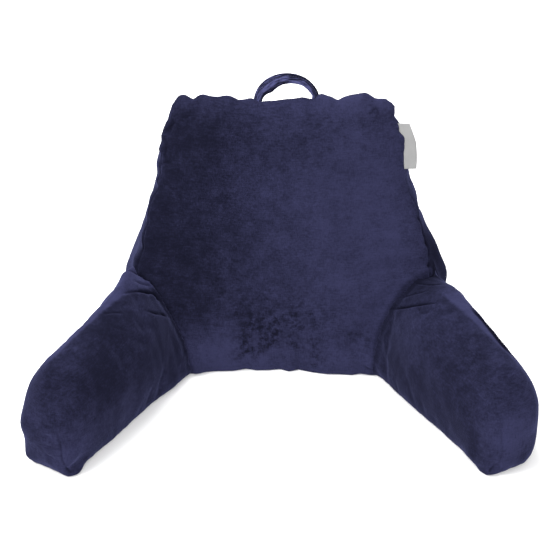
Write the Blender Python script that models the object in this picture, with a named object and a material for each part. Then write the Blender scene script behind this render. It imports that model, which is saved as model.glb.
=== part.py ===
"""A reading pillow with arms: a wedge-shaped back cushion, two arm bolsters sewn to its lower corners,
a carry handle in the top seam and a plain folded tab in the right side seam.

Metres, +Z up, the seat side faces -Y. The pillow stands on the plane z = 0.
"""

import math

import bmesh
import bpy
from mathutils import Vector

# ---------------------------------------------------------------- driving dimensions
CENTRE_X = 0.004  # the back's middle, which puts the origin midway between the arms' outer sides
FOOT_LINE_Y = 0.016  # where the front panel meets the floor, which puts the origin midway front to rear
SEAM_GAP = 0.0004  # left between pieces that are sewn to each other

# The back cushion, one row for each level. front and rear say how far behind the foot line the two
# panels' middles stand, the seams are half widths, and the crowns are how far each panel bulges.
BACK_COLUMNS = ("height", "front", "rear", "front_seam", "rear_seam", "front_crown", "rear_crown", "side_crown")
BACK_LEVELS = (
    (0.000, 0.004, 0.222, 0.238, 0.244, 0.002, 0.006, 0.004),
    (0.010, -0.003, 0.232, 0.246, 0.256, 0.006, 0.010, 0.008),
    (0.030, -0.002, 0.239, 0.248, 0.260, 0.010, 0.014, 0.012),
    (0.076, 0.012, 0.244, 0.242, 0.256, 0.016, 0.018, 0.015),
    (0.127, 0.029, 0.246, 0.233, 0.243, 0.021, 0.020, 0.014),
    (0.178, 0.046, 0.245, 0.224, 0.227, 0.025, 0.022, 0.011),
    (0.229, 0.063, 0.243, 0.214, 0.211, 0.028, 0.024, 0.007),
    (0.279, 0.081, 0.239, 0.207, 0.200, 0.029, 0.028, 0.004),
    (0.330, 0.098, 0.230, 0.203, 0.195, 0.028, 0.032, 0.002),
    (0.368, 0.112, 0.216, 0.198, 0.192, 0.025, 0.032, 0.001),
    (0.394, 0.123, 0.201, 0.191, 0.188, 0.022, 0.026, 0.001),
    (0.414, 0.135, 0.182, 0.185, 0.184, 0.017, 0.017, 0.001),
    (0.427, 0.146, 0.169, 0.180, 0.180, 0.009, 0.009, 0.001),
    (0.433, 0.157, 0.161, 0.176, 0.176, 0.001, 0.001, 0.000),
)
CREST_DEPTH = 0.159  # the top seam's distance behind the foot line
CREST_RISE = 0.0008  # the top seam stands this much above the last level
CREST_SAG = 0.005  # how far the handle's feet draw the top seam down between them
CREST_SAG_REACH = 0.045
CROWN_POWER = 3.2  # how square a filled panel bulges between its seams
SIDE_FILL = {-1: 1.0, 1: 1.4}  # the right gusset is filled rounder than the left one

# Where the stitching draws the seams in. Between two of these places the seam puffs outwards.
CREST_NOTCHES = (-0.185, -0.142, -0.112, -0.060, -0.026, 0.040, 0.055, 0.088, 0.152, 0.185)
LEFT_NOTCHES = (0.000, 0.052, 0.120, 0.188, 0.246, 0.290, 0.326, 0.365, 0.406, 0.440)
RIGHT_NOTCHES = (0.000, 0.046, 0.102, 0.165, 0.224, 0.281, 0.318, 0.352, 0.398, 0.440)
PUFF_SHARE = 0.12  # how far a puff rises, as a share of its length
PUFF_FADE = 0.050  # how far in from the seam a puff fades out

PANEL_SEGMENTS = 34  # across the front panel, and across the rear one
GUSSET_SEGMENTS = 7  # across each side
BACK_RINGS = 30

# An arm, one row for each station along it. inner and outer are its sides measured from its axis,
# ridge is how far outwards its top line runs, belly is the height of its widest level, and fullness is
# how round its upper half is: 2 for an ellipse, less where the seam draws it in.
ARM_COLUMNS = ("along", "inner", "outer", "ridge", "belly", "top", "fullness")
ARM_STATIONS = (
    (-0.090, 0.062, 0.084, 0.056, 0.010, 0.166, 1.28),
    (0.000, 0.063, 0.084, 0.052, 0.012, 0.169, 1.33),
    (0.050, 0.064, 0.080, 0.038, 0.026, 0.175, 1.72),
    (0.110, 0.065, 0.072, 0.018, 0.048, 0.178, 2.12),
    (0.180, 0.066, 0.064, 0.006, 0.058, 0.175, 2.25),
    (0.250, 0.066, 0.059, 0.002, 0.062, 0.170, 2.25),
    (0.352, 0.066, 0.052, 0.000, 0.062, 0.160, 2.25),
)
ARM_INNER_FOOT_POWER = 7.0
ARM_OUTER_FOOT_POWER = 3.2
ARM_SINK = 0.004  # how far the rounded foot would reach below the floor, which flattens it
TIP_TOP = 0.090  # how far from its end the arm starts to round down
TIP_FOOT = 0.018
TIP_OUTER = 0.080  # how far from its end its outer side starts to round in
TIP_INNER_HIGH = 0.060  # the same for the inner side, at the belly and at the floor
TIP_INNER_LOW = 0.016
TIP_POWER = 2.3
EAR_REACH = 0.009  # the pinched corner at the inner foot of the tip
EAR_FROM_END = 0.030
EAR_LENGTH = 0.012

ARM_SEGMENTS = 36  # round an arm's section
ARM_RINGS = 28
ARM_ROOT_DEPTH = 0.090  # how far an arm's form runs back before it is trimmed to the back cushion
ARMS = {
    "arm_left": {"side": -1, "root": (0.202, 0.032), "splay": 33.4, "length": 0.343, "swell": 0.000, "plump": 0.00},
    "arm_right": {"side": 1, "root": (0.200, 0.032), "splay": 32.8, "length": 0.336, "swell": 0.013, "plump": 0.38},
}
# swell widens an arm's outer side at the root and plump adds to its fullness there.
SWELL_REACH = 0.220  # both fade out this far along
SWELL_ON_RIDGE = 0.6  # the share of the swell by which the top line moves outwards too

HANDLE_MIDDLE = 0.006  # the arch stands a little to the right of the back's middle
HANDLE_HALF_SPAN = 0.0475
HANDLE_RISE = 0.036  # of the strap's middle line above the top seam
HANDLE_ROOT = 0.022  # how far each end runs down into the seam before it is trimmed
HANDLE_BEHIND = 0.003  # its feet stand this far behind the top seam
HANDLE_LEAN = 12.0
HANDLE_WIDTH = 0.0175
HANDLE_THICK = 0.0075
HANDLE_TWIST = (8.0, 62.0)  # of the strap's width, from its left end to its right end
HANDLE_STEPS = 26
HANDLE_SEGMENTS = 12

LABEL_HEIGHTS = (0.324, 0.398)
LABEL_REACH = 0.013  # how far it stands out of the seam
LABEL_ROOT = 0.012  # how far it runs into the seam before it is trimmed
LABEL_THICK = 0.0014
LABEL_BOW = 0.003
LABEL_STEPS = 8


# ---------------------------------------------------------------- curves
def smooth_value(rows, column, place):
    """A column's value at a place along the first column, on a smooth curve through the rows."""
    last = len(rows) - 1
    k = 0
    while k < last - 1 and place > rows[k + 1][0]:
        k += 1
    before, here, after, beyond = rows[max(k - 1, 0)], rows[k], rows[k + 1], rows[min(k + 2, last)]
    span = after[0] - here[0]
    t = min(max((place - here[0]) / span, 0.0), 1.0)
    slope_here = (after[column] - before[column]) / (after[0] - before[0])
    slope_after = (beyond[column] - here[column]) / (beyond[0] - here[0])
    return (
        (2 * t**3 - 3 * t**2 + 1) * here[column]
        + (t**3 - 2 * t**2 + t) * span * slope_here
        + (3 * t**2 - 2 * t**3) * after[column]
        + (t**3 - t**2) * span * slope_after
    )


def row_at(columns, rows, place):
    return {name: smooth_value(rows, n, place) for n, name in enumerate(columns)}


def arc(share, power):
    """A quarter arc that falls from 1 at share 0 to 0 at share 1."""
    return (1 - min(abs(share), 1.0) ** power) ** (1 / power)


def puff(place, notches):
    """How far the seam puffs out at a place between two notches."""
    for start, end in zip(notches, notches[1:]):
        if start <= place <= end:
            t = (place - start) / (end - start)
            return PUFF_SHARE * (end - start) * (4 * t * (1 - t)) ** 0.7
    return 0.0


# ---------------------------------------------------------------- mesh helpers
def cloth_material(name, colour, roughness):
    material = bpy.data.materials.new(name)
    material.use_nodes = True
    shader = material.node_tree.nodes["Principled BSDF"]
    shader.inputs["Base Color"].default_value = (*colour, 1.0)
    shader.inputs["Roughness"].default_value = roughness
    shader.inputs["Metallic"].default_value = 0.0
    return material


def mesh_object(name, bm, material):
    bmesh.ops.recalc_face_normals(bm, faces=bm.faces)
    mesh = bpy.data.meshes.new(name)
    bm.to_mesh(mesh)
    bm.free()
    mesh.shade_smooth()
    mesh.materials.append(material)
    obj = bpy.data.objects.new(name, mesh)
    bpy.context.scene.collection.objects.link(obj)
    return obj


def join_rings(bm, lower, upper):
    count = len(lower)
    for i in range(count):
        j = (i + 1) % count
        bm.faces.new((lower[i], lower[j], upper[j], upper[i]))


def skin(bm, rings):
    for lower, upper in zip(rings, rings[1:]):
        join_rings(bm, lower, upper)


# ---------------------------------------------------------------- back cushion
def gusset_point(row, side, t, front, rear, edge, level):
    """A point of a side gusset, t from 0 at the front seam to 1 at the rear seam."""
    bulge = row["side_crown"] * SIDE_FILL[side] * (1 - abs(2 * t - 1) ** CROWN_POWER)
    width = row["front_seam"] + (row["rear_seam"] - row["front_seam"]) * t
    return side * (width + bulge + edge * (1 - t) ** 4), front + (rear - front) * t, level


def back_ring(level):
    """One level of the back: front panel left to right, right gusset, rear panel right to left, left gusset."""
    row = row_at(BACK_COLUMNS, BACK_LEVELS, level)
    front = row["front"] + row["front_crown"]
    rear = row["rear"] - row["rear_crown"]
    puffs = {-1: puff(level, LEFT_NOTCHES), 1: puff(level, RIGHT_NOTCHES)}
    points = []
    for i in range(PANEL_SEGMENTS):
        u = 2 * i / PANEL_SEGMENTS - 1
        edge = puffs[1 if u > 0 else -1] * abs(u) ** 6
        bulge = row["front_crown"] * (1 - abs(u) ** CROWN_POWER)
        points.append((u * (row["front_seam"] + edge), front - bulge, level))
    for i in range(GUSSET_SEGMENTS):
        points.append(gusset_point(row, 1, i / GUSSET_SEGMENTS, front, rear, puffs[1], level))
    for i in range(PANEL_SEGMENTS):
        u = 1 - 2 * i / PANEL_SEGMENTS
        bulge = row["rear_crown"] * (1 - abs(u) ** CROWN_POWER)
        points.append((u * row["rear_seam"], rear + bulge, level))
    for i in range(GUSSET_SEGMENTS):
        points.append(gusset_point(row, -1, 1 - i / GUSSET_SEGMENTS, front, rear, puffs[-1], level))
    return [Vector((CENTRE_X + x, FOOT_LINE_Y + y, z)) for x, y, z in points]


def crest_lift(across, level):
    """The top seam's puffs and its sag between the handle's feet, fading out down the panels."""
    fade = max(0.0, 1 - (BACK_LEVELS[-1][0] - level) / PUFF_FADE) ** 2
    sag = CREST_SAG * math.exp(-((across / CREST_SAG_REACH) ** 2))
    return (puff(across, CREST_NOTCHES) - sag) * fade


def close_crest(bm, top, height):
    """Brings the last ring together on the top seam."""
    half = BACK_LEVELS[-1][3]
    seam = []
    for i in range(PANEL_SEGMENTS + 1):
        x = half * (2 * i / PANEL_SEGMENTS - 1)
        z = height + CREST_RISE + crest_lift(x, height)
        seam.append(bm.verts.new((CENTRE_X + x, FOOT_LINE_Y + CREST_DEPTH, z)))
    rear_start = PANEL_SEGMENTS + GUSSET_SEGMENTS
    for i in range(PANEL_SEGMENTS):
        bm.faces.new((top[i], top[i + 1], seam[i + 1], seam[i]))
        j = rear_start + i
        bm.faces.new((top[j], top[j + 1], seam[PANEL_SEGMENTS - i - 1], seam[PANEL_SEGMENTS - i]))
    for start, end in ((PANEL_SEGMENTS, seam[-1]), (rear_start + PANEL_SEGMENTS, seam[0])):
        for i in range(GUSSET_SEGMENTS):
            bm.faces.new((top[start + i], top[(start + i + 1) % len(top)], end))


def back_form():
    height = BACK_LEVELS[-1][0]
    bm = bmesh.new()
    rings = []
    for k in range(BACK_RINGS + 1):
        share = k / BACK_RINGS
        level = height * (share - 0.11 * math.sin(2 * math.pi * share))  # closer at the foot and the top
        ring = back_ring(min(max(level, 0.0), height))
        for point in ring:
            point.z += crest_lift(point.x - CENTRE_X, level)
        rings.append([bm.verts.new(point) for point in ring])
    skin(bm, rings)
    bm.faces.new(rings[0])
    close_crest(bm, rings[-1], height)
    bmesh.ops.triangulate(bm, faces=bm.faces, quad_method="FIXED")  # the same split for the trimmer
    return bm


# ---------------------------------------------------------------- arms
def closing(distance, reach):
    """How much of its size the arm keeps at a distance from its end: 0 at the end, 1 from reach on."""
    return arc(1 - min(distance / reach, 1.0), TIP_POWER)


def arm_point(row, angle, to_end):
    """A point of an arm's section: its distance outwards from the axis, and its height."""
    c, s = math.cos(angle), math.sin(angle)
    outer, upper = c >= 0, s >= 0
    half = row["outer"] - row["ridge"] if outer else row["inner"] + row["ridge"]
    if upper:
        power = row["fullness"]
    else:
        power = ARM_OUTER_FOOT_POWER if outer else ARM_INNER_FOOT_POWER
    across = row["ridge"] + math.copysign(abs(c) ** (2 / power), c) * half
    swing = abs(s) ** (2 / power)
    if upper:
        height = row["belly"] + (row["top"] - row["belly"]) * swing * closing(to_end, TIP_TOP)
    else:
        height = row["belly"] - (row["belly"] + ARM_SINK) * swing * closing(to_end, TIP_FOOT)
    height = max(height, 0.0)

    # The inner side stays straight down to the pinched corner, and rounds in sooner higher up.
    reach = TIP_OUTER
    if not outer:
        reach = TIP_INNER_LOW + (TIP_INNER_HIGH - TIP_INNER_LOW) * min(height / row["belly"], 1.0)
    across *= closing(to_end, reach)
    if not outer and not upper:
        nearness = math.exp(-(((to_end - EAR_FROM_END) / EAR_LENGTH) ** 2))
        across -= EAR_REACH * nearness * (1 - height / row["belly"]) ** 2
    return across, height


def arm_form(side, root, splay, length, swell, plump):
    angle = math.radians(splay)
    forward = Vector((side * math.sin(angle), -math.cos(angle), 0.0))
    outward = Vector((side * math.cos(angle), math.sin(angle), 0.0))
    origin = Vector((CENTRE_X + side * root[0], FOOT_LINE_Y + root[1], 0.0))
    bm = bmesh.new()
    rings = []
    for k in range(ARM_RINGS):
        share = 1 - (1 - k / ARM_RINGS) ** 1.6  # closer towards the tip
        along = -ARM_ROOT_DEPTH + (length + ARM_ROOT_DEPTH) * share
        row = row_at(ARM_COLUMNS, ARM_STATIONS, along)
        fade = min(max(1 - along / SWELL_REACH, 0.0), 1.0)
        row["outer"] += swell * fade
        row["ridge"] += swell * fade * SWELL_ON_RIDGE
        row["fullness"] += plump * fade
        ring = []
        for i in range(ARM_SEGMENTS):
            across, height = arm_point(row, 2 * math.pi * (i + 0.5) / ARM_SEGMENTS, length - along)
            ring.append(bm.verts.new(origin + forward * along + outward * across + Vector((0, 0, height))))
        rings.append(ring)
    skin(bm, rings)
    bm.faces.new(rings[0])
    belly = row_at(ARM_COLUMNS, ARM_STATIONS, length)["belly"]
    tip = bm.verts.new(origin + forward * length + Vector((0, 0, belly)))
    last = rings[-1]
    for i in range(ARM_SEGMENTS):
        bm.faces.new((last[i], last[(i + 1) % ARM_SEGMENTS], tip))
    return bm


# ---------------------------------------------------------------- handle and label
def handle_form():
    """A padded strap, bent into an arch over the top seam and twisted a little along it."""
    lean = math.radians(HANDLE_LEAN)
    up = Vector((0, math.sin(lean), math.cos(lean)))
    deep = Vector((0, math.cos(lean), -math.sin(lean)))
    right = Vector((1, 0, 0))
    depth = FOOT_LINE_Y + CREST_DEPTH + HANDLE_BEHIND
    foot = Vector((CENTRE_X + HANDLE_MIDDLE, depth, BACK_LEVELS[-1][0] - HANDLE_ROOT))
    rise = HANDLE_RISE + HANDLE_ROOT
    bm = bmesh.new()
    rings = []
    for k in range(HANDLE_STEPS + 1):
        share = k / HANDLE_STEPS
        angle = math.pi * share
        place = foot - right * math.cos(angle) * HANDLE_HALF_SPAN + up * math.sin(angle) ** 0.85 * rise
        outward = (up * math.sin(angle) - right * math.cos(angle) * 0.9).normalized()
        twist = math.radians(HANDLE_TWIST[0] + (HANDLE_TWIST[1] - HANDLE_TWIST[0]) * share)
        wide = (outward * math.cos(twist) + deep * math.sin(twist)) * HANDLE_WIDTH / 2
        thin = (deep * math.cos(twist) - outward * math.sin(twist)) * HANDLE_THICK / 2
        turns = [2 * math.pi * i / HANDLE_SEGMENTS for i in range(HANDLE_SEGMENTS)]
        rings.append([bm.verts.new(place + wide * math.cos(turn) + thin * math.sin(turn)) for turn in turns])
    skin(bm, rings)
    bm.faces.new(rings[0])
    bm.faces.new(rings[-1])
    return bm


def label_form():
    """A folded tape, standing out of the right side seam and bowed along its outer edge."""
    low, high = LABEL_HEIGHTS
    bm = bmesh.new()
    rings = []
    for k in range(LABEL_STEPS + 1):
        share = k / LABEL_STEPS
        level = low + (high - low) * share
        row = row_at(BACK_COLUMNS, BACK_LEVELS, level)
        seam = Vector((CENTRE_X + row["front_seam"], FOOT_LINE_Y + row["front"] + row["front_crown"], level))
        bow = LABEL_BOW * 4 * share * (1 - share)
        inner = seam + Vector((-LABEL_ROOT, 0.004, 0))
        outer = seam + Vector((LABEL_REACH + bow, 0.002, 0))
        half = Vector((0, LABEL_THICK / 2, 0))
        rings.append([bm.verts.new(p) for p in (inner - half, outer - half, outer + half, inner + half)])
    skin(bm, rings)
    bm.faces.new(rings[0])
    bm.faces.new(rings[-1])
    return bm


# ---------------------------------------------------------------- assembly
def back_trimmer(material):
    """The back grown by the seam gap and carried on below the floor, to trim what is sewn to it."""
    bm = back_form()
    bmesh.ops.recalc_face_normals(bm, faces=bm.faces)
    bm.normal_update()
    grown = [vert.co + vert.normal * SEAM_GAP for vert in bm.verts]
    for vert, place in zip(bm.verts, grown):
        vert.co = place
        if place.z < SEAM_GAP:
            vert.co.z = -0.02
    trimmer = mesh_object("back_trimmer", bm, material)
    trimmer.hide_render = True
    trimmer.display_type = "WIRE"
    return trimmer


def trim_to(obj, trimmer):
    trim = obj.modifiers.new("trim", "BOOLEAN")
    trim.operation = "DIFFERENCE"
    trim.solver = "EXACT"
    trim.object = trimmer


def build():
    for obj in list(bpy.data.objects):
        bpy.data.objects.remove(obj, do_unlink=True)

    back_velour = cloth_material("back_velour", (0.034, 0.036, 0.085), 0.85)
    arm_velour = cloth_material("arm_velour", (0.031, 0.033, 0.078), 0.85)
    handle_velour = cloth_material("handle_velour", (0.040, 0.042, 0.095), 0.85)
    tape = cloth_material("label_tape", (0.55, 0.55, 0.56), 0.7)

    mesh_object("back", back_form(), back_velour)
    trimmer = back_trimmer(back_velour)
    for name, arm in ARMS.items():
        trim_to(mesh_object(name, arm_form(**arm), arm_velour), trimmer)
    trim_to(mesh_object("handle", handle_form(), handle_velour), trimmer)
    trim_to(mesh_object("label", label_form(), tape), trimmer)


build()
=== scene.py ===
import math
import random

import bmesh
import bpy
import numpy as np
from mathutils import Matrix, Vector, noise
from mathutils.bvhtree import BVHTree


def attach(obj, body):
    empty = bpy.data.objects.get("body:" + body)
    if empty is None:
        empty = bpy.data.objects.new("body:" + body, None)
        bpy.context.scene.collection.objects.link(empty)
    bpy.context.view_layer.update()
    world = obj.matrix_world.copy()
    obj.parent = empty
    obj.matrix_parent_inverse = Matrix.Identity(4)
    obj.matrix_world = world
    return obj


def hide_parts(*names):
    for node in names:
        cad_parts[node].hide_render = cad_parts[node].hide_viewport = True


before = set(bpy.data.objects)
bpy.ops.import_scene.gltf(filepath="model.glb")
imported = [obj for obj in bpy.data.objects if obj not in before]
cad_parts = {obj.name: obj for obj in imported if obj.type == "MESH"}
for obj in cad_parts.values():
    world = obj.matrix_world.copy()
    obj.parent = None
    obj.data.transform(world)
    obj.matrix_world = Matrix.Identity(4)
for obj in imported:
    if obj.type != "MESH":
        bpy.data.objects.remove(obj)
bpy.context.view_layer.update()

scene = bpy.context.scene
middleX = 0.004  # the back's middle, as the solids have it
footLineY = 0.016  # where the front panel meets the floor
armMiddle = 0.07  # how high an arm's middle line lies
up = Vector((0, 0, 1))

cameraSet = {
    "place": (0.0012, -3.1865, 2.5020),
    "tilt": 35.716,  # degrees below the horizon
    "turn": 0.188,
    "lens": 159.2,
    "sensor": 36,
}
lightSet = {
    "aim": (0.0, 0.05, 0.2),
    "world": 1.05,
    "lights": (  # name, place, size, watts
        ("keyLight", (-2.2, -0.8, 2.6), 1.8, 80),
        ("topLight", (-0.7, 0.9, 3.0), 2.2, 105),
        ("frontLight", (0.3, -3.0, 2.0), 1.8, 60),
    ),
}


def addCamera():
    s = cameraSet
    data = bpy.data.cameras.new("camera")
    data.lens = s["lens"]
    data.sensor_width = s["sensor"]
    camera = bpy.data.objects.new("camera", data)
    camera.location = s["place"]
    camera.rotation_euler = (math.radians(90 - s["tilt"]), 0, math.radians(s["turn"]))
    scene.collection.objects.link(camera)
    scene.camera = camera


def addLights():
    for name, place, size, watts in lightSet["lights"]:
        data = bpy.data.lights.new(name, "AREA")
        data.shape = "DISK"
        data.size = size
        data.energy = watts
        light = bpy.data.objects.new(name, data)
        light.location = place
        toAim = Vector(lightSet["aim"]) - Vector(place)
        light.rotation_euler = toAim.to_track_quat("-Z", "Y").to_euler()
        scene.collection.objects.link(light)
    world = bpy.data.worlds.new("softWhite")
    world.use_nodes = True
    background = world.node_tree.nodes["Background"]
    background.inputs["Color"].default_value = (1, 1, 1, 1)
    background.inputs["Strength"].default_value = lightSet["world"]
    scene.world = world
    scene.view_settings.view_transform = "Standard"


addCamera()
addLights()
print("camera and lights set")


class Wire:  # a socket that can stand in a sum
    def __init__(self, graph, socket):
        self.graph, self.socket = graph, socket

    def beside(self, name):
        return Wire(self.graph, self.socket.node.outputs[name])

    def sum(self, operation, first, second):
        return self.graph.node("ShaderNodeMath", {"operation": operation}, {0: first, 1: second})

    def __add__(self, other):
        return self.sum("ADD", self, other)

    def __sub__(self, other):
        return self.sum("SUBTRACT", self, other)

    def __rsub__(self, other):
        return self.sum("SUBTRACT", other, self)

    def __mul__(self, other):
        return self.sum("MULTIPLY", self, other)

    __radd__, __rmul__ = __add__, __mul__


class Graph:  # a node tree and the one way its nodes are made
    def __init__(self, tree):
        self.tree = tree
        self.tree.nodes.clear()

    def node(self, kind, settings=None, sockets=None, out=0):
        made = self.tree.nodes.new(kind)
        for name, value in (settings or {}).items():
            setattr(made, name, value)
        for name, value in (sockets or {}).items():
            if isinstance(value, Wire):
                self.tree.links.new(value.socket, made.inputs[name])
            else:
                made.inputs[name].default_value = value
        return Wire(self, made.outputs[out]) if made.outputs else None


class Paint(Graph):  # a material
    def __init__(self, name):
        self.material = bpy.data.materials.new(name)
        self.material.use_nodes = True
        super().__init__(self.material.node_tree)

    def place(self):
        return self.node("ShaderNodeTexCoord", None, None, "Object")

    def noise(self, where, scale, detail=2.0, roughness=0.5):
        sockets = {"Vector": where, "Scale": scale, "Detail": detail, "Roughness": roughness}
        return self.node("ShaderNodeTexNoise", None, sockets)

    def ease(self, value, low, high, start=0.0, end=1.0):
        sockets = {"Value": value, "From Min": low, "From Max": high, "To Min": start, "To Max": end}
        return self.node("ShaderNodeMapRange", {"interpolation_type": "SMOOTHSTEP"}, sockets)

    def mix(self, share, first, second):
        return self.node("ShaderNodeMix", {"data_type": "RGBA"}, {0: share, 6: first, 7: second}, 2)

    def stretched(self, where, scale):
        return self.node("ShaderNodeMapping", None, {"Vector": where, "Scale": scale})

    def attribute(self, name):
        return self.node("ShaderNodeAttribute", {"attribute_name": name}, None, "Fac")

    def raised(self, height, strength):
        sockets = {"Height": height, "Strength": strength, "Distance": 1.0}
        return self.node("ShaderNodeBump", None, sockets)

    def shader(self, **sockets):
        sockets = {name.replace("_", " "): value for name, value in sockets.items()}
        return self.node("ShaderNodeBsdfPrincipled", None, sockets)

    def finish(self, shader):
        self.node("ShaderNodeOutputMaterial", None, {"Surface": shader})
        return self.material


velourSet = {
    "dark": (0.0050, 0.0052, 0.0117, 1),
    "light": (0.0224, 0.0231, 0.0556, 1),
    # the colour of the painted shade in seams, folds, joints and turned-away sides
    "paintedShade": (0.0030, 0.0031, 0.0068, 1),
    "roughness": 0.95,
    "sheen": 0.165,
    "sheenRoughness": 0.42,
    "sheenTint": (0.34, 0.36, 0.76, 1),
    # how the nap varies: each noise's scale, detail and roughness, and how far it shows
    "patch": (11.0, 3.0, 0.5, 0.45),
    "blotch": (48.0, 4.0, 0.62, 0.70),
    "fleck": (210.0, 3.0, 0.65, 0.50),
    "warp": (620.0, 2.0, 0.6, 0.60),
    "weft": (620.0, 2.0, 0.6, 0.60),
    "drawnOut": 0.16,  # a thread's noise along it, as a share of that across it
    "toneRange": (-0.1, 1.1),  # the tone that is darkest, and lightest
    "smudges": (90.0, 6.0, 0.72),
    "smudgesFrom": (0.34, 0.70),
    "smudgedAreas": 34.0,
    "areasFrom": (0.30, 0.62, 0.25, 1.0),
    "smudgedAnywhere": 0.08,
    "nap": (1500.0, 2.0, 0.6),
    "relief": 0.0004,
    "blotchRelief": 0.0010,
    "bump": 0.6,
}


def velour(name, shift=(0, 0, 0), lighter=1.0):
    # the nap is brushed into soft patches with small dark smudges, and a fine grain runs both ways
    s, paint = velourSet, Paint(name)
    place = paint.node("ShaderNodeMapping", None, {"Vector": paint.place(), "Location": shift})
    upright = paint.stretched(place, (1.0, 1.0, s["drawnOut"]))
    level = paint.stretched(place, (s["drawnOut"], s["drawnOut"], 1.0))
    wheres = {"patch": place, "blotch": place, "fleck": place, "warp": upright, "weft": level}
    # this attribute holds the nap's tone together with painted light and painted shade
    toneWithLight, grain = paint.attribute("napAndLight"), {}
    for part, where in wheres.items():
        *look, shows = s[part]
        grain[part] = paint.noise(where, *look)
        toneWithLight = toneWithLight + (grain[part] - 0.5) * shows
    smudge = paint.ease(paint.noise(place, *s["smudges"]), *s["smudgesFrom"])
    smudge = smudge * paint.ease(paint.noise(place, s["smudgedAreas"]), *s["areasFrom"])
    toneWithLight = toneWithLight - smudge * (paint.attribute("smudged") + s["smudgedAnywhere"])
    light = (*(c * lighter for c in s["light"][:3]), 1)
    height = (paint.noise(place, *s["nap"]) + grain["warp"] + grain["weft"]) * s["relief"]
    normal = paint.raised(height + grain["blotch"] * s["blotchRelief"], s["bump"])
    openPile = paint.shader(
        Base_Color=paint.mix(paint.ease(toneWithLight, *s["toneRange"]), s["dark"], light),
        Roughness=s["roughness"],
        Normal=normal,
        Sheen_Weight=s["sheen"],
        Sheen_Roughness=s["sheenRoughness"],
        Sheen_Tint=s["sheenTint"],
        Specular_IOR_Level=0.0,
    )
    # painted shade: a dark pile without sheen, mixed in where shade falls
    paintedShadePile = paint.shader(Base_Color=s["paintedShade"], Roughness=1.0, Normal=normal, Specular_IOR_Level=0.0)
    shaders = {0: paint.attribute("paintedShade"), 1: openPile, 2: paintedShadePile}
    return paint.finish(paint.node("ShaderNodeMixShader", None, shaders))


# meshes as arrays of points
farAway = 9.0  # what a point out of a line's reach gets as its distance
shortestStep = 0.0005  # shorter pieces of a line are left out


def readVectors(items, name):
    values = np.zeros(len(items) * 3)
    items.foreach_get(name, values)
    return values.reshape(-1, 3)


def pointsOf(mesh):
    return readVectors(mesh.vertices, "co")


def normalsOf(mesh):
    return readVectors(mesh.vertex_normals, "vector")


def setPoints(mesh, points):
    mesh.vertices.foreach_set("co", points.astype(np.float32).ravel())
    mesh.update()


def keepAttribute(mesh, name, values):
    layer = mesh.attributes.new(name, "FLOAT", "POINT")
    layer.data.foreach_set("value", values.astype(np.float32))


def readAttribute(mesh, name):
    values = np.zeros(len(mesh.vertices))
    mesh.attributes[name].data.foreach_get("value", values)
    return values


def smooth(value, low, high):
    t = np.clip((value - low) / (high - low), 0, 1)
    return t * t * (3 - 2 * t)


def bell(distance, width):
    return np.exp(-((distance / width) ** 2))


def aboveFloor(points):
    points[:, 2] = np.maximum(points[:, 2], 0)
    return points


def addObject(name, mesh):
    obj = bpy.data.objects.new(name, mesh)
    scene.collection.objects.link(obj)
    return obj


def meshFrom(bm, name):
    mesh = bpy.data.meshes.new(name)
    bm.to_mesh(mesh)
    bm.free()
    return mesh


def solidCopy(node, name):
    bm = bmesh.new()
    bm.from_mesh(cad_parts[node].data)
    bmesh.ops.remove_doubles(bm, verts=bm.verts, dist=0.00002)
    return addObject(name, meshFrom(bm, name))


def applied(obj):
    # the object with its modifiers made real
    evaluated = obj.evaluated_get(bpy.context.evaluated_depsgraph_get())
    mesh = bpy.data.meshes.new_from_object(evaluated)
    obj.modifiers.clear()
    old, obj.data = obj.data, mesh
    bpy.data.meshes.remove(old)
    return obj


def subdivided(obj):
    finer = obj.modifiers.new("finer", "SUBSURF")
    finer.levels = finer.render_levels = 1
    applied(obj)
    obj.data.shade_smooth()
    return obj


def treeOf(obj):
    bm = bmesh.new()
    bm.from_mesh(obj.data)
    tree = BVHTree.FromBMesh(bm)
    bm.free()
    return tree


def distanceTo(tree, points, reach=0.05):
    found = (tree.find_nearest(p, reach)[3] for p in points)
    return np.array([reach if far is None else far for far in found])


def lengthsOf(line):
    return np.r_[0, np.cumsum(np.linalg.norm(np.diff(np.array(line), axis=0), axis=1))]


def nearLine(points, line, reach=0.08):
    # how far each point is from a line, how far along the line that is, and the line's nearest spot
    line = np.array(line, float)
    line = line[np.r_[True, np.linalg.norm(np.diff(line, axis=0), axis=1) > shortestStep]]
    distance = np.full(len(points), farAway)
    place = np.zeros(len(points))
    spot = np.zeros_like(points)
    close = np.all((points > line.min(0) - reach) & (points < line.max(0) + reach), axis=1)
    some = points[close]
    best, where, foot = distance[close], place[close], spot[close]
    travelled = 0.0
    for a, b in zip(line, line[1:]):
        step = b - a
        length = np.linalg.norm(step)
        t = np.clip((some - a) @ step / length**2, 0, 1)
        feet = a + t[:, None] * step
        gap = np.linalg.norm(some - feet, axis=1)
        nearer = gap < best
        best[nearer], foot[nearer] = gap[nearer], feet[nearer]
        where[nearer] = travelled + t[nearer] * length
        travelled += length
    distance[close], place[close], spot[close] = best, where, foot
    return distance, place, spot, travelled


def distanceToLines(points, lines, reach=0.08):
    return np.min([nearLine(points, line, reach)[0] for line in lines], axis=0)


def smoothLine(points, step=0.006):
    # a rounded line through a few points, with a point every step
    points = [Vector(p) for p in points]
    line = [points[0]]
    for k in range(len(points) - 1):
        before, here = points[max(k - 1, 0)], points[k]
        after, beyond = points[k + 1], points[min(k + 2, len(points) - 1)]
        count = max(1, round((after - here).length / step))
        out, into = (after - before) * 0.5, (beyond - here) * 0.5
        for i in range(1, count + 1):
            t = i / count
            line.append(
                here * (2 * t**3 - 3 * t**2 + 1) + out * (t**3 - 2 * t**2 + t)
                + after * (3 * t**2 - 2 * t**3) + into * (t**3 - t**2)
            )
    return line


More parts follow.
